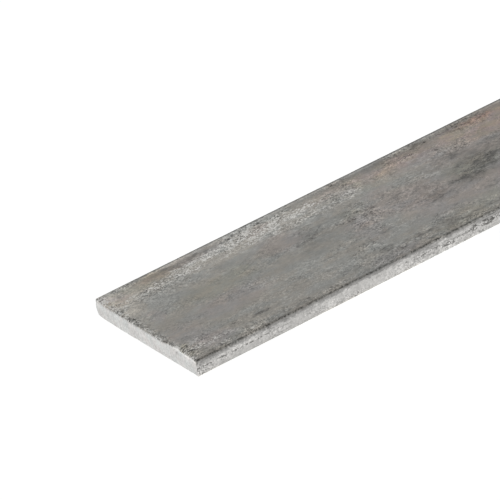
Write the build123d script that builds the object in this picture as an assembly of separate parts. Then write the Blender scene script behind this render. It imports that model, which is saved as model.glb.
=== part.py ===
from build123d import *

import os

# Hot-rolled steel flat bar, one piece of stock lying flat.
#
# The bar runs along X and lies on its lower wide face at Z 0. The origin is the middle of that face.
# Its section is what a rolling mill leaves: two flat wide faces, two narrow edges that stand out a
# little at mid-thickness, and four small rounded corners. Both ends are cut square across, and the
# cut's sharp rim is broken all round.

# Driving dimensions, in millimetres.
width = 38.1
thickness = 3.175
length = 914.4

# The rolled edge: how far its middle stands out past its corners.
edge_crown = 0.08

# The rolled corner between a wide face and a narrow edge.
corner_radius = 0.4

# The bevel where each cut end meets the rolled faces.
end_break = 0.12


def rolled_section():
    """The section across the bar, with its lower face on the horizontal axis."""
    edge_middle = width / 2
    edge_corner = edge_middle - edge_crown
    with BuildSketch(Plane.YZ) as section:
        with BuildLine():
            Line((-edge_corner, 0), (edge_corner, 0))
            ThreePointArc((edge_corner, 0), (edge_middle, thickness / 2), (edge_corner, thickness))
            Line((edge_corner, thickness), (-edge_corner, thickness))
            ThreePointArc((-edge_corner, thickness), (-edge_middle, thickness / 2), (-edge_corner, 0))
        make_face()
        fillet(section.vertices(), corner_radius)
    return section.sketch


def flat_bar():
    """The section drawn out to the bar's length, with the rims of both cut ends broken."""
    with BuildPart() as bar:
        extrude(rolled_section(), amount=length / 2, both=True)
        cut_ends = bar.faces().filter_by(Axis.X)
        chamfer(cut_ends.edges(), end_break)
    return bar.part


os.makedirs("parts", exist_ok=True)
export_step(flat_bar(), "parts/flat_bar.step")
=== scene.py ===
"""The looks of a hot-rolled steel flat bar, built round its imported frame.

The bar is one mesh that follows the rolled section along its length, with worn corners and two
cut ends whose rims are chipped. Its two materials are worked out in millimetres from the cut end
that faces the camera, so the marks on the steel have their real size.
"""

import math

import bmesh
import bpy
import numpy as np
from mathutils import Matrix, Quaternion, Vector, noise


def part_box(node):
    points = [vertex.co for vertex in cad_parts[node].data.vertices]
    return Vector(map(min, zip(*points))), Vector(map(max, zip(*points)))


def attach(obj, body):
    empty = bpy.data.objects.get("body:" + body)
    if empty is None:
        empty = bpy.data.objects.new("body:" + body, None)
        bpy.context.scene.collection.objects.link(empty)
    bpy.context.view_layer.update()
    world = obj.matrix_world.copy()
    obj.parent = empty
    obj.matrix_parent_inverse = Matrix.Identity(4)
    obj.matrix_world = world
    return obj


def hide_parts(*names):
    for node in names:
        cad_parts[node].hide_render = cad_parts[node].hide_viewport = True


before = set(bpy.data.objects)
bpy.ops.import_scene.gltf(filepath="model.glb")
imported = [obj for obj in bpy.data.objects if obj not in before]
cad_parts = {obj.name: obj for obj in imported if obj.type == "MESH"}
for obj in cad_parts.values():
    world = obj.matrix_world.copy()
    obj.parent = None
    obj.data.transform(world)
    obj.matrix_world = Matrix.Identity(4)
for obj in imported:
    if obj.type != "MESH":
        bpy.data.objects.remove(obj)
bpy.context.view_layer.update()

# One millimetre in the scene's metres.
mm = 0.001

# The bar's sizes in millimetres, from the frame.
bar_low, bar_high = (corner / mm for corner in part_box("flat_bar"))
length = bar_high.x - bar_low.x
width = bar_high.y - bar_low.y
thickness = bar_high.z
half_width = width / 2

# The rolled section, in millimetres, as the part has it.
edge_crown = 0.08
corner_radius = 0.4
flat_half = half_width - edge_crown - corner_radius

# How finely the section is divided. The rings at the cut ends have rim_parts times as many parts
# across the wide faces. A narrow edge with its two corners has edge_points points on every ring.
wide_parts = 37
rim_parts = 5
corner_parts = 6
edge_parts = 8
edge_points = edge_parts + 2 * corner_parts

# The cut ends: their rings start rim_reach millimetres from the end, and crowd towards the rim.
rim_reach = 3.0
rim_rings = 7
rim_crowding = 1.6
bevel_rings = 3
cut_rings = 7

# The rings between the cut ends, in millimetres from either end: close together up to dense_reach,
# then on to where the map's first sheet ends, and from there to the middle.
first_ring = rim_reach + 1.0
dense_step = 0.9
dense_reach = 112.0
outer_rings = 64
middle_rings = 50

# Points closer together than this, in millimetres, are made one.
same_point = 0.0005

# Faces that meet at more than this angle, in degrees, have a sharp edge between them.
sharp_angle = 40

# The map of the surface: the bar's skin as long sheets one above the other, each once round the
# section, and past them the two cut faces, enlarged. Its lengths are in millimetres.
map_sheets = 3
map_gap = 2.0
map_enlarged = 3.0
round_trip = 4 * flat_half + 2 * math.pi * corner_radius + 2 * (thickness - 2 * corner_radius)
sheet_length = length / map_sheets
map_span = sheet_length + 2 * map_gap


def smooth_step(value, low, high):
    """0 below low, 1 above high and a soft slope between."""
    share = min(max((value - low) / (high - low), 0.0), 1.0)
    return share * share * (3 - 2 * share)


def bump(value, centre, half):
    """1 at the centre, falling softly to 0 at half to either side."""
    return 1 - smooth_step(abs(value - centre), 0.0, half)


def ripple(x, y, z, size):
    """Smooth noise from -1 to 1 with bumps about that size, in millimetres."""
    return noise.noise(Vector((x / size, y / size, z / size)))


def read_off(points, y):
    """The value at y on the broken line through those (y, value) points."""
    places, values = zip(*sorted(points))
    return float(np.interp(y, places, values))


def section_ring(parts):
    """Points round the section, as rows of y, z and the outward normal's y and z."""
    half = []
    for k in range(parts):
        half.append((flat_half * (2 * k / parts - 1), 0.0, 0.0, -1.0))
    for k in range(corner_parts):
        half.append(corner_point(-90 + 90 * k / corner_parts, corner_radius))
    for k in range(edge_parts + 1):
        z = corner_radius + (thickness - 2 * corner_radius) * k / edge_parts
        half.append((half_width - edge_crown + crown(z), z, 1.0, 0.0))
    for k in range(1, corner_parts):
        half.append(corner_point(90 * k / corner_parts, thickness - corner_radius))
    half = np.array(half)
    other = half * (-1, -1, -1, -1) + (0, thickness, 0, 0)
    return np.vstack([half, other])


def crown(z):
    """How far the narrow edge stands out at that height."""
    middle = thickness / 2
    return edge_crown * (1 - ((z - middle) / middle) ** 2)


def corner_point(angle, centre_z):
    """A row of section_ring on the far edge's rounded corner."""
    across = math.cos(math.radians(angle))
    up = math.sin(math.radians(angle))
    z = centre_z + corner_radius * up
    return (flat_half + (corner_radius + crown(z)) * across, z, across, up)


def wear(x, y, z, across, up):
    """How far the rolled surface lies inside the true section, in millimetres."""
    on_corner = min(1.0, 2 * abs(across * up))
    rolled = 0.010 * (1 + ripple(x, 2 * y, 9 * z, 24.0))
    pitted = 0.004 * (1 + ripple(x, y, 9 * z, 2.6))
    rubbed = 0.030 * (1 + ripple(x, 3 * y, 3 * z, 7.0)) + 0.040 * max(0.0, ripple(x, y, z, 1.7))
    return rolled + pitted + on_corner * rubbed


class Cut:
    """One cut end: how its face leans and how its rim is chipped, by the place on the section.

    The slant and the lean are (y, depth) points of broken lines, and the lean grows towards the
    upper rim. A chip is its place across the bar, half its width, and how much it widens the broken
    rim. All are in millimetres. Each ripple has a third place of its own, so no two are alike.
    """

    def __init__(self, side, slant, lean, chips):
        self.side = side
        self.slant = slant
        self.lean = lean
        self.chips = chips

    def face(self, y, z):
        """How far the cut face lies inside the bar's end, in millimetres."""
        leaning = read_off(self.lean, y) * smooth_step(z, 0.4 * thickness, thickness)
        sheared = 0.012 * (1 + ripple(y, 0.3 * z, 11.0 * self.side, 0.5))
        uneven = 0.015 * (1 + ripple(y, z, 23.0 * self.side, 3.0))
        return read_off(self.slant, y) + leaning + sheared + uneven

    def bevel(self, y, z):
        """How wide the broken rim is, in millimetres."""
        fine = 0.10 * abs(ripple(y, 4 * z, 31.0 * self.side, 0.5))
        coarse = 0.07 * (1 + ripple(y, 4 * z, 37.0 * self.side, 2.2))
        chipped = sum(size * bump(y, place, half) for place, half, size in self.chips if z > thickness / 2)
        return 0.06 + fine + coarse + chipped

    def drop(self, wide, z):
        """How far the broken rim reaches down the cut face, in millimetres: most at the upper rim."""
        return wide * (0.6 + 1.3 * smooth_step(z, 0.5 * thickness, thickness))

    def place(self, inside, y, z):
        """The point in the bar's frame, in millimetres, that lies so far inside this end."""
        return (self.side * (length / 2 - inside), y, z)

    def steps(self, y, z):
        """Ring by ring at one place on the section: how far inside the end and how far in from the skin.

        On the cut face the first is None, because the face itself gives it.
        """
        wide = self.bevel(y, z)
        drop = self.drop(wide, z)
        rim = self.face(y, z)
        for k in range(rim_rings):
            inside = wide + (rim_reach - wide) * (1 - k / (rim_rings - 1)) ** rim_crowding
            yield inside + rim * (1 - inside / rim_reach), 0.0
        for k in range(1, bevel_rings + 1):
            turn = math.radians(90 * k / bevel_rings)
            yield rim + wide * (1 - math.sin(turn)), drop * (1 - math.cos(turn))
        for k in range(1, cut_rings + 1):
            yield None, drop + (thickness / 2 - drop) * k / cut_rings

    def rings(self, ring):
        """Rings from rim_reach out over the broken rim and in across the cut face to its middle line."""
        inner_half = half_width - thickness / 2
        middle_z = thickness / 2
        rings = [[] for _ in range(rim_rings + bevel_rings + cut_rings)]
        for y, z, across, up in ring:
            sunk = wear(self.side * length / 2, y, z, across, up)
            y_out, z_out = y - across * sunk, z - up * sunk
            middle_y = min(max(y, -inner_half), inner_half)
            for row, (inside, inward) in zip(rings, self.steps(y, z)):
                share = inward / middle_z
                y_here = y_out + (middle_y - y_out) * share
                z_here = z_out + (middle_z - z_out) * share
                if inside is None:
                    inside = self.face(y_here, z_here)
                row.append(self.place(inside, y_here, z_here))
        return rings


# The largest chip on the near cut, which shows bright metal.
bright_chip = (-11.7, 1.0, 0.22)

near_cut = Cut(
    side=-1,
    slant=(
        (19.0, 0.30), (17.8, 0.10), (16.0, 0.01), (12.0, 0.0), (7.0, 0.03),
        (0.0, 0.14), (-8.0, 0.26), (-14.0, 0.34), (-19.0, 0.40),
    ),
    lean=(
        (14.0, 0.21), (0.0, 0.14), (-7.4, 0.06), (-8.4, 0.28),
        (-10.9, 0.32), (-12.7, 0.40), (-14.0, 0.30), (-18.8, 0.14),
    ),
    chips=(bright_chip, (-16.2, 1.2, 0.06), (4.0, 1.0, 0.06), (19.0, 1.0, 0.10)),
)
far_cut = Cut(
    side=1,
    slant=((19.0, 0.18), (9.0, 0.10), (-4.0, 0.0), (-12.0, 0.02), (-19.0, 0.12)),
    lean=((17.5, 0.1), (14.0, 0.3), (9.0, 0.26), (7.4, 0.04), (3.0, 0.0)),
    chips=((13.0, 1.5, 0.2), (9.0, 1.0, 0.2), (-3.0, 1.1, 0.12), (-15.0, 1.4, 0.15)),
)


def stations():
    """Where the rings between the cut ends stand along X, in millimetres."""
    dense = np.arange(first_ring, dense_reach, dense_step)
    outer = np.linspace(dense[-1], sheet_length, outer_rings + 1)[1:]
    middle = np.linspace(sheet_length, length / 2, middle_rings + 1)[1:]
    inside = np.concatenate([dense, outer, middle])
    return np.concatenate([inside - length / 2, (length / 2 - inside)[-2::-1]])


def body_rings(ring):
    """The worn section's points at every station."""
    rings = []
    for x in stations():
        row = []
        for y, z, across, up in ring:
            sunk = wear(x, y, z, across, up)
            row.append((x, y - across * sunk, z - up * sunk))
        rings.append(row)
    return rings


class Skin:
    """The bar's points and faces as they are joined up. Kind 0 is mill surface, kind 1 is cut metal."""

    def __init__(self):
        self.points = []
        self.faces = []
        self.kinds = []

    def add_ring(self, ring):
        """Takes in a ring of points and gives their numbers."""
        start = len(self.points)
        self.points.extend(ring)
        return list(range(start, start + len(ring)))

    def add_face(self, corners, kind):
        """Takes in a face by its corners' numbers."""
        self.faces.append(corners)
        self.kinds.append(kind)

    def join(self, one, two, kind):
        """Joins two rings of as many points by four-sided faces."""
        count = len(one)
        for i in range(count):
            after = (i + 1) % count
            self.add_face((one[i], one[after], two[after], two[i]), kind)

    def join_fine(self, coarse, fine):
        """Joins a ring of the body to the first ring of a cut end by triangles."""
        count = len(coarse)
        for i in range(count):
            after = (i + 1) % count
            first, last = fine_place(i), fine_place(after)
            if last <= first:
                last += len(fine)
            middle = (first + last) // 2
            self.add_face((coarse[i], coarse[after], fine[middle % len(fine)]), 0)
            for k in range(first, last):
                corner = coarse[i] if k < middle else coarse[after]
                self.add_face((corner, fine[(k + 1) % len(fine)], fine[k % len(fine)]), 0)


def fine_place(i):
    """Where point i of a body's ring stands on a ring of the cut ends."""
    turned, rest = divmod(i, wide_parts + edge_points)
    finer = min(rest, wide_parts) * (rim_parts - 1)
    return turned * (wide_parts * rim_parts + edge_points) + rest + finer


def around(y, z):
    """The distance round the section to that place.

    It starts at the near end of the flat underside and goes by way of the far edge.
    """
    turn = corner_radius * math.pi / 2
    side = thickness - 2 * corner_radius
    if z < corner_radius and abs(y) <= flat_half:
        return y + flat_half
    if z > thickness - corner_radius and abs(y) <= flat_half:
        return 3 * flat_half + 2 * turn + side - y
    start = 2 * flat_half if y > 0 else 4 * flat_half + 2 * turn + side
    up = z if y > 0 else thickness - z
    across = abs(y) - flat_half
    if up < corner_radius:
        return start + corner_radius * math.atan2(across, corner_radius - up)
    if up > side + corner_radius:
        return start + turn + side + corner_radius * math.atan2(up - side - corner_radius, across)
    return start + turn + up - corner_radius


def spread_skin(face, layer, centre_x):
    """Lays a face of the skin on the map's sheet for that part of the length."""
    row = min(max(int((centre_x + length / 2) // sheet_length), 0), map_sheets - 1)
    spots = [(loop, around(loop.vert.co.y / mm, loop.vert.co.z / mm)) for loop in face.loops]
    last = max(place for loop, place in spots)
    for loop, place in spots:
        if last - place > round_trip / 2:
            place += round_trip
        u = map_gap + loop.vert.co.x / mm + length / 2 - row * sheet_length
        v = map_gap + place + row * (round_trip + map_gap)
        loop[layer].uv = (u / map_span, v / map_span)


def spread_cut(face, layer, side):
    """Lays a face of a cut end past the sheets, spread outward by how far inside the end it lies."""
    for loop in face.loops:
        x, y, z = loop.vert.co / mm
        inside = length / 2 - abs(x)
        outward = 1 + inside / thickness
        u = map_gap + half_width * map_enlarged + y * map_enlarged
        u += side * (width * map_enlarged + 4 * map_gap)
        v = map_sheets * (round_trip + map_gap) + 3 * map_gap
        v += (z - thickness / 2) * map_enlarged * outward
        v += thickness * map_enlarged / 2
        loop[layer].uv = (u / map_span, v / map_span)


def spread_map(shaped):
    """Lays the whole surface out flat, so that the materials can be baked onto it."""
    layer = shaped.loops.layers.uv.new("OFBake")
    for face in shaped.faces:
        centre_x = face.calc_center_median().x / mm
        if face.material_index == 0:
            spread_skin(face, layer, centre_x)
        else:
            spread_cut(face, layer, 1 if centre_x > 0 else 0)


def bar_mesh():
    """The whole bar as one closed mesh, its mill faces in material 0 and its cut faces in material 1."""
    skin = Skin()
    body = [skin.add_ring(ring) for ring in body_rings(section_ring(wide_parts))]
    for one, two in zip(body, body[1:]):
        skin.join(one, two, 0)
    fine = section_ring(wide_parts * rim_parts)

    # The strips between a cut end's rings that are mill surface: all but the broken rim's last.
    milled_strips = rim_rings + bevel_rings - 2
    for cut, outer in ((near_cut, body[0]), (far_cut, body[-1])):
        rings = [skin.add_ring(ring) for ring in cut.rings(fine)]
        skin.join_fine(outer, rings[0])
        for k, (one, two) in enumerate(zip(rings, rings[1:])):
            skin.join(one, two, 0 if k < milled_strips else 1)

    mesh = bpy.data.meshes.new("flat_bar_steel")
    mesh.from_pydata([Vector(point) * mm for point in skin.points], [], skin.faces)
    mesh.polygons.foreach_set("material_index", skin.kinds)
    shaped = bmesh.new()
    shaped.from_mesh(mesh)
    bmesh.ops.remove_doubles(shaped, verts=shaped.verts, dist=same_point * mm)
    bmesh.ops.recalc_face_normals(shaped, faces=shaped.faces)
    spread_map(shaped)
    shaped.to_mesh(mesh)
    shaped.free()
    mesh.polygons.foreach_set("use_smooth", [True] * len(mesh.polygons))
    mesh.set_sharp_from_angle(angle=math.radians(sharp_angle))
    return mesh


class Wiring:
    """Builds a material's node tree. Places are in millimetres from the near cut end."""

    def __init__(self, name):
        self.material = bpy.data.materials.new(name)
        self.material.use_nodes = True
        self.tree = self.material.node_tree
        self.tree.nodes.clear()
        seen = self.node("TexCoord").outputs["Object"]
        moved = self.vector("ADD", seen, (length / 2 * mm, 0, 0))
        self.at = self.vector("MULTIPLY", moved, (1 / mm, 1 / mm, 1 / mm))
        self.x, self.y, self.z = self.node("SeparateXYZ", {0: self.at}).outputs

    def node(self, kind, inputs=(), **settings):
        """A new node, its inputs set to values or linked to other nodes' outputs."""
        made = self.tree.nodes.new("ShaderNode" + kind)
        for name, value in settings.items():
            setattr(made, name, value)
        for key, value in dict(inputs).items():
            if isinstance(value, bpy.types.NodeSocket):
                self.tree.links.new(value, made.inputs[key])
            else:
                made.inputs[key].default_value = value
        return made

    def vector(self, operation, *terms):
        """A vector worked out from the terms."""
        return self.node("VectorMath", enumerate(terms), operation=operation).outputs[0]

    def math(self, operation, *terms):
        """A number worked out from the terms."""
        return self.node("Math", enumerate(terms), operation=operation).outputs[0]

    def total(self, *terms):
        """The terms added up."""
        added = terms[0]
        for term in terms[1:]:
            added = self.math("ADD", added, term)
        return added

    def product(self, *terms):
        """The terms multiplied."""
        result = terms[0]
        for term in terms[1:]:
            result = self.math("MULTIPLY", result, term)
        return result

    def most(self, *terms):
        """The greatest of the terms."""
        found = terms[0]
        for term in terms[1:]:
            found = self.math("MAXIMUM", found, term)
        return found

    def slope(self, value, low, high, start=0.0, end=1.0):
        """start where value is low, end where it is high, and a soft slope between."""
        terms = {"Value": value, "From Min": low, "From Max": high, "To Min": start, "To Max": end}
        return self.node("MapRange", terms, interpolation_type="SMOOTHSTEP").outputs[0]

    def line(self, value, place, half):
        """1 where value is at that place, falling to 0 at half to either side."""
        gap = self.math("ABSOLUTE", self.math("SUBTRACT", value, place))
        return self.slope(gap, 0.0, half, 1.0, 0.0)

    def noise(self, size, stretch=(1, 1, 1), detail=3.0, rough=0.5, shift=0.0):
        """Noise from 0 to 1 whose blotches are about size millimetres, longer along an axis by stretch."""
        scale = tuple(1 / (size * s) for s in stretch)
        at = self.vector("MULTIPLY", self.at, scale)
        if shift:
            at = self.vector("ADD", at, (shift, shift, shift))
        terms = {"Vector": at, "Scale": 1.0, "Detail": detail, "Roughness": rough}
        return self.node("TexNoise", terms).outputs["Fac"]

    def grains(self, size):
        """A value from 0 to 1 that jumps at random from grain to grain, each about size millimetres."""
        terms = {"Vector": self.vector("MULTIPLY", self.at, (1 / size,) * 3), "Scale": 1.0}
        cells = self.node("TexVoronoi", terms, feature="F1")
        return self.node("SeparateXYZ", {0: cells.outputs["Color"]}).outputs[0]

    def mix(self, share, first, second, blend="MIX"):
        """A colour: first where share is 0 and second where it is 1. Colours are linear."""
        terms = {0: share, 6: first, 7: second}
        made = self.node("Mix", terms, data_type="RGBA", blend_type=blend, clamp_factor=True)
        return made.outputs[2]

    def brighten(self, colour, tone):
        """The colour times one plus tone."""
        factor = self.math("ADD", tone, 1.0)
        grey = self.node("CombineXYZ", {0: factor, 1: factor, 2: factor}).outputs[0]
        return self.vector("MULTIPLY", colour, grey)

    def finish(self, colour, roughness, bump_height, bump_depth):
        """Closes the tree with the surface shader, its relief bump_height times bump_depth millimetres."""
        relief = self.node("Bump", {"Height": bump_height, "Distance": bump_depth * mm, "Strength": 1.0})
        terms = {
            "Base Color": colour,
            "Roughness": roughness,
            "Metallic": steel_metallic,
            "Normal": relief.outputs[0],
        }
        shader = self.node("BsdfPrincipled", terms)
        output = self.node("OutputMaterial", {"Surface": shader.outputs[0]})
        output.is_active_output = True
        return self.material


class MillWiring(Wiring):
    """The mill surface's wiring, with the layers that its marks are made from."""

    def __init__(self, name):
        super().__init__(name)
        from_middle = self.math("ABSOLUTE", self.math("SUBTRACT", self.x, length / 2))
        self.from_cut = self.math("SUBTRACT", length / 2, from_middle)
        self.off_centre = self.math("ABSOLUTE", self.y)
        self.on_edge = self.slope(self.off_centre, flat_half + 0.30, flat_half + 0.46)
        self.by_edge = self.slope(self.off_centre, 7.0, 15.0)

        # Where the marks that are placed one by one give way to marks that fall by chance.
        self.beyond = self.most(self.slope(self.x, 88.0, 112.0), self.slope(self.z, 0.35, 0.1))

        # The place, shaken a little, so that the marks' ovals have ragged rims.
        wobble = self.node("TexNoise", {"Vector": self.at, "Scale": 0.55, "Detail": 3.0, "Roughness": 0.6})
        drift = self.vector("SUBTRACT", wobble.outputs["Color"], (0.5, 0.5, 0.5))
        self.ragged = self.vector("ADD", self.at, self.vector("MULTIPLY", drift, (6.0, 3.0, 0.25)))

        self.specks = self.grains(0.25)
        self.dots = self.grains(0.62)
        self.mottle = self.noise(8.0, (1.5, 1, 0.6), detail=5.0, rough=0.75, shift=7.0)
        flaky = self.noise(0.9, (1.9, 0.9, 1), detail=5.0, rough=0.85, shift=3.0)
        flaky = self.total(flaky, self.product(self.specks, 0.26), self.product(self.mottle, 0.3), -0.28)
        self.flakes = self.slope(flaky, 0.51, 0.62)
        shredded = self.noise(2.2, (2.0, 1, 1), detail=7.0, rough=0.82, shift=5.0)
        self.shreds = self.slope(self.total(shredded, self.product(self.specks, 0.12), -0.06), 0.47, 0.58)
        scuffed = self.slope(self.noise(11.0, (3.2, 1, 0.3), detail=2.0, shift=67.0), 0.47, 0.60)
        self.scuffed = self.product(scuffed, self.by_edge)

        # The lines along the edges: how they break up, and the height, which sways along the bar.
        self.streaky = self.noise(0.6, (2.4, 1, 1), detail=3.0, rough=0.8, shift=41.0)
        self.broken = self.total(self.streaky, self.product(self.specks, 0.20), -0.10)
        sway = self.slope(self.noise(9.0, (1, 0.2, 0.2), detail=3.0, shift=43.0), 0.3, 0.7, -0.10, 0.10)
        self.high = self.math("ADD", self.z, sway)

    def patch(self, place, half_size, soft):
        """1 inside an uneven oval about that place on the section, soft at its rim."""
        offset = self.vector("SUBTRACT", self.ragged, place)
        share = self.vector("DIVIDE", offset, half_size)
        far = self.node("VectorMath", {0: share}, operation="LENGTH").outputs["Value"]
        return self.slope(far, 1 - soft, 1 + soft, 1.0, 0.0)

    def face_patches(self, marks, soft):
        """The ovals of a list of marks on the upper face, each weighed by its own strength."""
        ovals = []
        for x, y, half_long, half_wide, strength in marks:
            oval = self.patch((x, y, thickness), (half_long, half_wide, mark_depth), soft)
            ovals.append(self.product(oval, strength))
        return self.total(*ovals)

    def edge_patches(self, marks, soft):
        """The ovals of a list of marks on the near narrow edge, each weighed by its own strength."""
        ovals = []
        for x, z, half_long, half_high, strength in marks:
            oval = self.patch((x, -half_width, z), (half_long, mark_depth, half_high), soft)
            ovals.append(self.product(oval, strength))
        return self.total(*ovals)


def linear(red, green, blue):
    """A colour for a node, from linear shares of red, green and blue."""
    return (red, green, blue, 1.0)


# The steel's own colours, and the stains that multiply them.
grey_steel = linear(0.500, 0.502, 0.479)
warm_steel = linear(0.532, 0.506, 0.459)
edge_steel = linear(0.502, 0.493, 0.478)
bare_steel = linear(1.0, 0.985, 0.94)
torn_steel = linear(0.96, 0.95, 0.92)
cool_cut = linear(0.616, 0.623, 0.610)
warm_cut = linear(0.637, 0.620, 0.603)
thick_scale = linear(0.18, 0.176, 0.166)
rim_pits = linear(0.17, 0.166, 0.157)
# This dark also serves as the painted dark reflection along the rounded corners.
scale_and_dark_reflection = linear(0.14, 0.137, 0.129)
mauve_stain = linear(1.05, 0.98, 1.01)
olive_stain = linear(1.0, 0.985, 0.90)
rosy_stain = linear(1.12, 0.955, 0.955)
brown_stain = linear(1.08, 0.965, 0.85)
rust_stain = linear(1.06, 0.83, 0.71)
steel_metallic = 0.9

# How far a mark's oval reaches into the steel, in millimetres.
mark_depth = 1.2

# Marks on the upper face near the cut end that faces the camera: the middle's millimetres from
# the end and from the centre line, half the length, half the width, and how strong the mark is.
tone_zones = (
    (26.0, 13.3, 30.0, 3.4, 0.12),
    (7.5, 13.7, 4.0, 0.7, -0.08),
    (34.0, 14.0, 14.0, 3.4, 0.06),
    (3.0, 12.0, 6.0, 8.0, 0.10),
    (0.8, 16.6, 1.8, 3.4, 0.42),
    (4.0, 15.5, 4.0, 4.0, 0.12),
    (1.0, 9.0, 2.0, 4.0, 0.12),
    (50.0, -16.8, 9.0, 1.3, -0.16),
    (35.0, 17.2, 12.0, 1.3, 0.07),
    (58.0, 16.9, 14.0, 0.9, -0.09),
    (20.0, -18.3, 22.0, 0.9, 0.08),
    (8.0, -13.0, 8.0, 3.0, -0.07),
    (30.0, 9.0, 30.0, 3.4, 0.10),
    (16.0, 15.5, 7.0, 2.6, 0.06),
    (76.0, 1.0, 14.0, 7.5, -0.11),
    (76.0, 13.6, 5.0, 2.0, 0.10),
    (66.0, -4.0, 12.0, 2.4, -0.10),
    (16.5, 16.1, 7.5, 1.2, -0.10),
    (15.0, 17.8, 9.0, 0.8, 0.10),
    (76.0, 17.4, 22.0, 1.8, -0.21),
    (67.0, 14.2, 5.0, 2.4, -0.06),
    (56.0, -17.2, 8.0, 1.0, -0.06),
    (60.0, -16.6, 10.0, 2.0, 0.08),
    (40.0, -1.5, 10.0, 4.0, -0.03),
)
rough_zones = (
    (28.0, 14.0, 36.0, 4.2, 0.25),
    (8.0, 15.0, 8.0, 4.0, 0.55),
    (4.0, -15.0, 9.0, 4.0, 0.5),
    (45.0, 0.5, 10.0, 9.0, 0.45),
    (76.0, 3.0, 11.0, 11.0, 0.5),
    (52.0, -12.0, 24.0, 5.0, 0.22),
    (23.0, -4.5, 3.0, 2.2, 0.5),
)
pale_scuffs = (
    (7.0, 12.4, 4.0, 0.8, 1.35),
    (13.5, 12.3, 4.2, 1.7, 1.25),
    (18.0, 13.5, 3.6, 1.8, 1.25),
    (24.0, 14.4, 3.4, 2.0, 1.1),
    (23.5, 11.6, 3.4, 1.2, 0.55),
    (30.5, 13.6, 4.0, 2.8, 0.95),
    (33.0, 10.8, 3.6, 1.4, 0.70),
    (37.2, 13.2, 3.4, 2.3, 1.35),
    (42.6, 13.8, 3.2, 2.0, 1.1),
    (37.5, 15.8, 3.0, 0.9, 0.8),
    (48.5, 11.4, 4.4, 2.8, 0.40),
    (5.5, -14.9, 5.0, 1.2, 0.6),
    (28.0, -13.0, 10.0, 3.4, 0.20),
    (48.0, -8.0, 6.0, 3.0, 0.22),
    (22.5, -4.6, 3.0, 1.6, 0.26),
    (40.0, 2.6, 3.0, 1.8, 0.26),
    (66.0, 4.2, 5.0, 2.2, 0.26),
    (61.0, -1.0, 2.2, 1.4, 0.22),
    (60.0, 11.0, 14.0, 4.0, 0.16),
    (14.0, 10.4, 8.0, 2.0, 0.22),
    (31.0, 10.2, 8.0, 2.2, 0.26),
    (43.0, 10.0, 5.0, 2.4, 0.42),
    (74.0, -11.0, 5.0, 3.0, 0.22),
)
dark_streaks = (
    (67.5, -3.2, 6.5, 2.2, 0.80),
    (71.0, -1.6, 5.0, 1.2, 0.60),
    (60.0, -5.6, 3.6, 0.8, 0.75),
    (73.0, 0.6, 5.0, 1.8, 0.7),
    (67.5, 6.4, 3.6, 1.6, 0.40),
    (54.5, 2.2, 2.4, 0.26, 0.75),
    (58.5, 2.9, 2.4, 0.26, 0.75),
    (51.5, -4.6, 2.4, 0.35, 0.7),
    (47.0, -7.6, 1.4, 0.6, 0.7),
    (69.0, -9.6, 2.4, 1.1, 0.7),
    (18.3, -14.0, 3.0, 0.5, 0.9),
    (43.0, -13.4, 3.4, 0.45, 0.9),
    (51.0, -14.6, 7.0, 0.7, 0.6),
    (62.0, -16.2, 6.0, 1.0, 0.6),
    (72.0, 1.0, 12.0, 8.0, 0.16),
    (42.0, 4.5, 8.0, 4.0, 0.35),
    (36.0, -2.0, 6.0, 3.0, 0.30),
    (17.2, 16.3, 7.0, 0.9, 0.66),
    (10.0, 18.2, 5.0, 0.5, 0.5),
    (27.0, 9.0, 7.0, 3.0, 0.2),
    (56.0, -15.6, 20.0, 2.0, 0.18),
    (74.0, 4.0, 9.0, 4.0, 0.3),
)
rust_blooms = (
    (81.5, 15.4, 3.4, 1.6, 0.80),
    (12.0, 15.8, 3.0, 1.6, 0.35),
)
olive_films = (
    (1.0, -14.0, 1.2, 3.0, 1.0),
    (10.0, 16.2, 5.5, 2.2, 1.0),
    (17.0, 2.0, 7.5, 3.2, 0.8),
    (23.0, 4.5, 1.8, 2.4, 0.6),
    (46.5, 4.0, 2.2, 1.8, 0.6),
    (56.5, 11.5, 4.0, 2.8, 0.7),
    (71.0, 0.8, 5.0, 3.4, 1.0),
    (60.0, -3.2, 2.4, 1.4, 0.6),
    (65.0, -13.5, 7.0, 2.4, 0.8),
    (59.0, -17.2, 6.0, 1.5, 0.6),
)
mauve_films = (
    (16.0, -5.0, 7.0, 3.6, 0.8),
    (4.5, -9.0, 3.6, 4.6, 0.6),
    (7.0, -14.6, 3.4, 2.4, 1.0),
    (20.0, 16.2, 7.0, 1.6, 0.6),
    (64.0, 12.0, 8.0, 3.0, 0.8),
    (76.0, -8.0, 6.0, 5.0, 0.8),
    (4.5, 2.0, 1.5, 2.6, 0.6),
    (33.0, 6.0, 4.5, 4.0, 0.8),
    (33.0, 14.5, 2.2, 1.6, 0.7),
    (45.5, -4.0, 2.6, 6.0, 0.7),
    (44.0, -17.0, 5.0, 1.8, 0.6),
    (56.0, 0.0, 9.0, 4.6, 0.9),
    (54.0, 6.6, 2.6, 2.0, 0.7),
    (62.0, -8.0, 8.0, 5.4, 0.9),
    (73.0, 6.0, 8.0, 4.4, 0.8),
)
warm_films = (
    (52.0, 14.0, 8.0, 3.2, 0.50),
    (70.0, 14.4, 14.0, 3.4, 0.72),
    (83.5, 12.6, 9.0, 4.8, 1.2),
    (2.0, 14.6, 3.0, 3.4, 0.5),
    (10.0, 16.6, 5.0, 1.6, 0.4),
)

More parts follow.
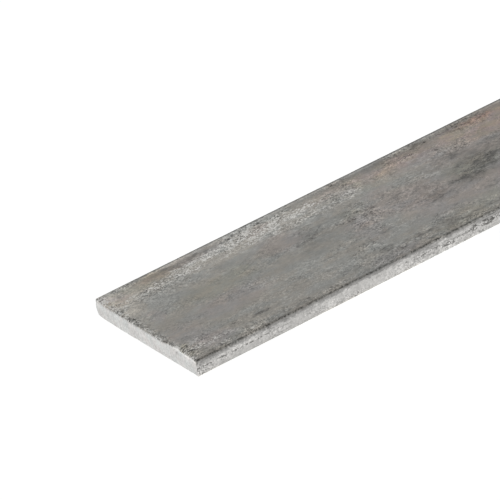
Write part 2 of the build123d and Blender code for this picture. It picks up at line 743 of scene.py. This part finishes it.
# Dark marks on the near narrow edge: the middle's millimetres from the end and from the lower
# face, half the length, half the height, and how strong the mark is.
edge_marks = (
    (9.0, 1.60, 9.0, 0.14, 1.2),
    (61.5, 1.75, 5.0, 0.60, 1.25),
    (62.0, 2.45, 5.0, 0.30, 0.4),
    (53.5, 1.45, 2.4, 0.50, 1.1),
    (47.0, 1.75, 4.0, 0.30, 0.8),
    (37.0, 1.80, 2.5, 0.22, 0.4),
    (1.5, 2.40, 2.4, 0.60, 0.4),
    # Painted shade: this mark carries the darker band under the upper corner further down.
    (12.0, 2.62, 11.0, 0.16, 0.45),
    (3.0, 0.45, 5.0, 0.35, 0.30),
    (2.0, 1.10, 2.5, 0.60, 0.4),
    (63.0, 2.75, 8.0, 0.10, 0.9),
)


def steel_colour(w):
    """Grey steel under thin scale, its hue drifting a little."""
    hue = w.noise(4.0, (1.5, 1, 0.6), detail=4.0, rough=0.7, shift=31.0)
    colour = w.mix(w.slope(hue, 0.38, 0.62), grey_steel, warm_steel)
    return w.mix(w.on_edge, colour, edge_steel)


def fine_grain(w):
    """The steel's grain: below 0 where it is dark, above 0 where bright, weaker on the narrow edges."""
    medium = w.noise(2.0, (1.25, 1, 1), detail=5.0, rough=0.85, shift=13.0)
    grit = w.total(w.product(w.specks, 0.72), w.product(w.dots, 0.24), -0.48)
    grain = w.math("ADD", w.slope(medium, 0.30, 0.70, -0.28, 0.28), grit)
    return w.product(grain, w.slope(w.on_edge, 0.0, 1.0, 1.0, 0.75))


def mottled(w, colour, grain):
    """Tones of every size: clouds, grain that is strong in places, and fine lines along the bar."""
    lumpy = w.noise(6.0, (1.5, 1, 0.6), detail=4.0, rough=0.65, shift=17.0)
    lumpy = w.slope(lumpy, 0.42, 0.60, 0.4, 1.6)
    wandering = w.math("ADD", w.off_centre, w.slope(w.mottle, 0.3, 0.7, -3.0, 3.0))
    sides = w.product(w.slope(wandering, 12.5, 17.0, 0.0, 0.6), w.slope(w.y, -12.0, 6.0, 0.6, 0.8))
    by_cut = w.slope(w.from_cut, 0.6, 2.6, 1.2, 0.0)
    coarse = w.total(w.face_patches(rough_zones, soft=0.7), sides, 0.4)
    coarse = w.total(w.product(coarse, lumpy), by_cut)
    scored = w.slope(w.noise(0.3, (20, 1, 1), detail=2.0, shift=83.0), 0.58, 0.72, 0.0, -0.35)
    clouds = w.slope(w.mottle, 0.30, 0.70, -0.15, 0.15)
    tone = w.total(clouds, w.product(grain, coarse), w.product(scored, lumpy, 0.3))
    return w.brighten(colour, tone)


def broad_tones(w, colour):
    """Paler and darker stretches: placed on the upper face by the near cut, and by chance past it."""
    colour = w.brighten(colour, w.face_patches(tone_zones, soft=0.6))
    clouds = w.slope(w.noise(20.0, (2.2, 1, 0.3), detail=2.0, shift=61.0), 0.3, 0.7, -0.16, 0.16)
    return w.brighten(colour, w.product(w.beyond, w.math("ADD", clouds, w.product(w.scuffed, 0.22))))


def films(w, colour):
    """Thin films of mauve, olive and brown over the grey, and rust by the edges."""
    uneven = w.slope(w.mottle, 0.35, 0.65, 0.65, 0.85)
    mauve = w.product(w.face_patches(mauve_films, soft=0.5), uneven)
    colour = w.mix(mauve, colour, mauve_stain, "MULTIPLY")
    olive = w.product(w.face_patches(olive_films, soft=0.5), uneven)
    colour = w.mix(olive, colour, olive_stain, "MULTIPLY")

    by_chance = w.slope(w.noise(13.0, (2.4, 1, 0.3), detail=2.0, shift=73.0), 0.50, 0.68)
    placed = w.product(w.face_patches(warm_films, soft=0.5), uneven)
    warm = w.total(placed, w.product(w.beyond, w.by_edge, by_chance))
    browner = w.noise(2.6, (1.5, 1, 0.6), detail=4.0, rough=0.65, shift=89.0)
    stain = w.mix(w.slope(browner, 0.40, 0.60), rosy_stain, brown_stain)
    colour = w.mix(warm, colour, stain, "MULTIPLY")

    by_chance = w.noise(9.0, (2.0, 1, 0.3), detail=4.0, rough=0.6, shift=79.0)
    by_chance = w.product(w.beyond, w.by_edge, w.slope(by_chance, 0.58, 0.70))
    rust = w.math("ADD", w.face_patches(rust_blooms, soft=0.5), by_chance)
    rust = w.product(rust, w.slope(w.mottle, 0.35, 0.6, 0.4, 1.0))
    return w.mix(rust, colour, rust_stain, "MULTIPLY")


def bare_spots(w):
    """How far the scale has flaked off to bright steel."""
    clusters = w.slope(w.noise(3.2, (1.8, 1, 1), detail=2.0, shift=37.0), 0.36, 0.60, 0.30, 1.50)
    scuffs = w.math("ADD", w.face_patches(pale_scuffs, soft=0.4), w.product(w.beyond, w.scuffed, 0.8))
    return w.product(scuffs, w.flakes, clusters)


def dark_spots(w):
    """How far thick dark scale clings on."""
    by_chance = w.slope(w.noise(6.0, (3.6, 1, 0.3), detail=3.0, shift=71.0), 0.52, 0.66)
    streaks = w.math("ADD", w.face_patches(dark_streaks, soft=0.5), w.product(w.beyond, by_chance, 0.8))
    return w.product(streaks, w.shreds)


def edge_tones(w, colour):
    """The tones along the edges.

    The narrow edges are painted paler, as the light falls on them, with a band of painted shade under
    their upper corners. The wide faces have a painted highlight inside their far corners, and a gritty
    line inside their near corners.
    """
    # Painted light: the narrow edges are made paler than the wide faces, as the light falls on them.
    painted_edge_light = w.product(w.on_edge, w.math("ADD", w.product(w.line(w.x, 62.0, 14.0), 0.08), 0.13))
    # Painted highlight: a pale line inside the far corners of the wide faces.
    far_corner_highlight = w.line(w.y, flat_half - 0.80, 0.50)
    far_corner_highlight = w.product(far_corner_highlight, w.slope(w.x, 5.0, 10.0, 0.0, 0.34))
    near_grit = w.line(w.y, 0.88 - flat_half, 0.85)
    near_grit = w.product(near_grit, w.slope(w.specks, 0.40, 1.0, -0.16, 0.20))
    colour = w.brighten(colour, w.total(painted_edge_light, far_corner_highlight, near_grit))
    # Painted shade: a darker band under the upper corners of the narrow edges.
    torn_height = w.total(w.high, w.slope(w.broken, 0.3, 0.7, -0.35, 0.35))
    painted_edge_shade = w.product(w.on_edge, w.slope(torn_height, 2.20, 2.56))
    return w.brighten(colour, w.product(painted_edge_shade, -0.45))


def edge_lines(w, colour):
    """The dark broken lines along the rounded corners, which are painted reflection, the dark lines along
    the edges, and the dark marks on the near narrow edge.
    """
    ravelled = w.slope(w.noise(18.0, (1, 0.2, 0.2), detail=2.0, shift=47.0), 0.40, 0.56)
    # Painted reflection: the dark broken lines along the upper and lower rounded corners.
    out = w.slope(w.off_centre, flat_half - 0.08, flat_half + 0.32)
    upper = w.line(w.high, thickness - 0.12, 0.36)
    lower = w.product(w.line(w.z, 0.10, 0.30), 0.5)
    beaded = w.total(w.product(w.streaky, 0.6), w.product(w.specks, 0.4))
    dark = w.most(w.slope(beaded, 0.30, 0.70, 1.0, 0.2), w.slope(w.x, 9.0, 14.0, 0.50, 0.0))
    corner = w.product(w.most(upper, lower), out, dark)

    far_side = w.slope(w.y, flat_half - 0.52, flat_half - 0.12)
    far_side = w.product(far_side, w.slope(w.broken, 0.38, 0.60, 1.0, 0.45))
    on_top = w.slope(w.z, thickness - 0.4, thickness - 0.1)
    far_side = w.product(far_side, w.slope(w.x, 3.0, 9.0, 0.3, 1.0), on_top)

    inner = w.line(w.off_centre, flat_half - 0.75, 0.28)
    inner = w.product(inner, ravelled, w.slope(w.broken, 0.42, 0.60, 0.28, 0.0))
    crease = w.product(w.line(w.high, 1.66, 0.16), w.on_edge, ravelled)
    crease = w.product(crease, w.slope(w.broken, 0.40, 0.58), w.slope(w.x, 60.0, 90.0))

    marked = w.product(w.edge_patches(edge_marks, soft=0.4), w.slope(w.broken, 0.42, 0.56, 0.8, 0.0))
    return w.mix(w.most(corner, far_side, inner, crease, marked), colour, scale_and_dark_reflection)


def cut_rim_flecks(w, colour):
    """The dark pits and the pale torn specks beside each cut, and the bright chip at the near one."""
    near = w.product(w.slope(w.from_cut, 0.5, 2.1, 1.0, 0.0), w.slope(w.z, 2.95, 3.10))
    pits = w.noise(0.9, (1, 1.5, 1), detail=5.0, rough=0.85, shift=59.0)
    pits = w.slope(w.total(pits, w.product(w.dots, 0.14), -0.07), 0.50, 0.58)
    pitted = w.product(near, pits, w.slope(w.y, 12.0, 16.0, 0.8, 0.05))
    colour = w.mix(pitted, colour, rim_pits)

    torn = w.noise(1.0, (1, 1.5, 1), detail=5.0, rough=0.85, shift=53.0)
    torn = w.slope(w.total(torn, w.product(w.specks, 0.16), -0.08), 0.50, 0.58)
    off_chip = w.math("ABSOLUTE", w.math("SUBTRACT", w.y, bright_chip[0]))
    chip = w.product(w.slope(w.x, 1.15, 1.45, 1.0, 0.0), w.slope(off_chip, 0.6, 1.1, 1.0, 0.0))
    chip = w.product(chip, w.slope(w.z, 1.9, 2.3))
    return w.mix(w.most(w.product(near, torn), chip), colour, torn_steel)


def mill_surface():
    """The rolled surface: grey steel under thin mottled scale, scuffed and a little rusty by its edges."""
    w = MillWiring("mill_surface")
    grain = fine_grain(w)
    colour = mottled(w, steel_colour(w), grain)
    colour = films(w, broad_tones(w, colour))
    bare = bare_spots(w)
    colour = w.mix(bare, colour, bare_steel)
    colour = w.mix(dark_spots(w), colour, thick_scale)
    colour = edge_lines(w, edge_tones(w, colour))
    colour = cut_rim_flecks(w, colour)
    roughness = w.math("SUBTRACT", w.slope(w.mottle, 0.3, 0.7, 0.40, 0.54), w.product(bare, 0.15))
    height = w.total(w.product(grain, 0.5), w.product(w.mottle, 0.5))
    return w.finish(colour, roughness, height, 0.03)


def cut_metal():
    """The bare steel of the cut ends, with the fine lines that the blade left."""
    w = Wiring("cut_metal")
    lines = w.noise(0.35, (1, 1, 6), detail=3.0, shift=9.0)
    clouds = w.noise(2.5, (1, 1.6, 1), detail=4.0, rough=0.7, shift=19.0)
    grain = w.slope(w.grains(0.28), 0.0, 1.0, -0.11, 0.11)
    tone = w.total(w.slope(lines, 0.2, 0.8, -0.09, 0.09), w.slope(clouds, 0.3, 0.7, -0.12, 0.12), grain)
    tone = w.total(tone, w.slope(w.z, 1.2, 2.6, -0.02, 0.05))

    # Painted shadow under most of the upper rim, as under a burr, and bright torn metal under its near
    # part that also carries a painted highlight.
    rim_shadow = w.product(w.slope(w.z, thickness - 0.55, thickness - 0.10), w.slope(w.y, -9.0, -4.0))
    bright = w.product(w.slope(w.z, thickness - 0.8, thickness - 0.2), w.slope(w.y, -11.0, -9.0, 1.0, 0.0))
    bright = w.product(bright, w.slope(w.grains(0.5), 0.2, 0.9, 0.4, 1.5))
    tone = w.total(tone, w.product(rim_shadow, -0.26), w.product(bright, 0.36))

    hue = w.slope(w.noise(3.0, (1, 1, 1), detail=3.0, rough=0.6, shift=23.0), 0.38, 0.62)
    colour = w.brighten(w.mix(hue, cool_cut, warm_cut), tone)
    return w.finish(colour, w.slope(clouds, 0.3, 0.7, 0.38, 0.5), lines, 0.02)


def make_bar():
    """The bar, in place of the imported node."""
    mesh = bar_mesh()
    mesh.materials.append(mill_surface())
    mesh.materials.append(cut_metal())
    bar = bpy.data.objects.new("flat_bar_steel", mesh)
    bpy.context.scene.collection.objects.link(bar)
    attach(bar, "root")
    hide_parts("flat_bar")


# The camera: angles in degrees, the lens and the distance in millimetres, and the place it aims
# at in millimetres from the middle of the near cut end.
view_azimuth = -23.07
view_elevation = 25.69
view_roll = -16.02
view_lens = 299.0
view_distance = 753.3
view_target = (30.56, 14.92, 0.0)


def make_camera():
    """A long lens at the photograph's viewing angle, turned a little about its own axis."""
    azimuth, elevation = math.radians(view_azimuth), math.radians(view_elevation)
    back = Vector((
        math.sin(azimuth) * math.cos(elevation),
        -math.cos(azimuth) * math.cos(elevation),
        math.sin(elevation),
    ))
    target = Vector(view_target) * mm + Vector((bar_low.x * mm, 0, 0))
    data = bpy.data.cameras.new("camera")
    data.lens = view_lens
    data.clip_start = 0.01
    data.clip_end = 100.0
    camera = bpy.data.objects.new("camera", data)
    camera.location = target + back * view_distance * mm
    camera.rotation_mode = "QUATERNION"
    level = (-back).to_track_quat("-Z", "Y")
    camera.rotation_quaternion = level @ Quaternion((0, 0, 1), math.radians(view_roll))
    bpy.context.scene.collection.objects.link(camera)
    bpy.context.scene.camera = camera


# The floor: half its side in metres, how far it lies under the bar in millimetres, its grey, and
# how strongly it glows.
floor_half = 20.0
floor_gap = 0.05
floor_grey = linear(0.3, 0.3, 0.3)
floor_glow = 0.9


def make_floor():
    """A wide floor that looks white by its own glow, as a lit studio table does."""
    corners = [(x * floor_half, y * floor_half, 0) for x, y in ((-1, -1), (1, -1), (1, 1), (-1, 1))]
    mesh = bpy.data.meshes.new("floor")
    mesh.from_pydata(corners, [], [(0, 1, 2, 3)])
    material = bpy.data.materials.new("studio_floor")
    material.use_nodes = True
    shader = material.node_tree.nodes["Principled BSDF"]
    shader.inputs["Base Color"].default_value = floor_grey
    shader.inputs["Roughness"].default_value = 0.9
    shader.inputs["Emission Color"].default_value = linear(1, 1, 1)
    shader.inputs["Emission Strength"].default_value = floor_glow
    mesh.materials.append(material)
    floor = bpy.data.objects.new("floor", mesh)
    floor.location.z = -floor_gap * mm
    bpy.context.scene.collection.objects.link(floor)


# The studio's light, as pairs of the height over the horizon, up to 1 overhead, and the brightness.
light_levels = ((0.0, 0.80), (0.12, 0.80), (0.30, 0.72), (0.50, 0.55), (0.75, 0.27), (1.0, 0.40))


def make_light():
    """A soft studio: bright near the horizon and dimmer overhead, the same all round."""
    world = bpy.data.worlds.new("studio")
    world.use_nodes = True
    bpy.context.scene.world = world
    tree = world.node_tree
    tree.nodes.clear()
    seen = tree.nodes.new("ShaderNodeTexCoord")
    split = tree.nodes.new("ShaderNodeSeparateXYZ")
    ramp = tree.nodes.new("ShaderNodeValToRGB")
    back = tree.nodes.new("ShaderNodeBackground")
    out = tree.nodes.new("ShaderNodeOutputWorld")
    tree.links.new(seen.outputs["Generated"], split.inputs[0])
    tree.links.new(split.outputs[2], ramp.inputs[0])
    tree.links.new(ramp.outputs[0], back.inputs[0])
    tree.links.new(back.outputs[0], out.inputs[0])
    while len(ramp.color_ramp.elements) < len(light_levels):
        ramp.color_ramp.elements.new(0.5)
    for element, (height, level) in zip(ramp.color_ramp.elements, light_levels):
        element.position = height
        element.color = (level, level, level, 1)
    bpy.context.scene.view_settings.view_transform = "Standard"


make_camera()
make_floor()
make_light()
make_bar()
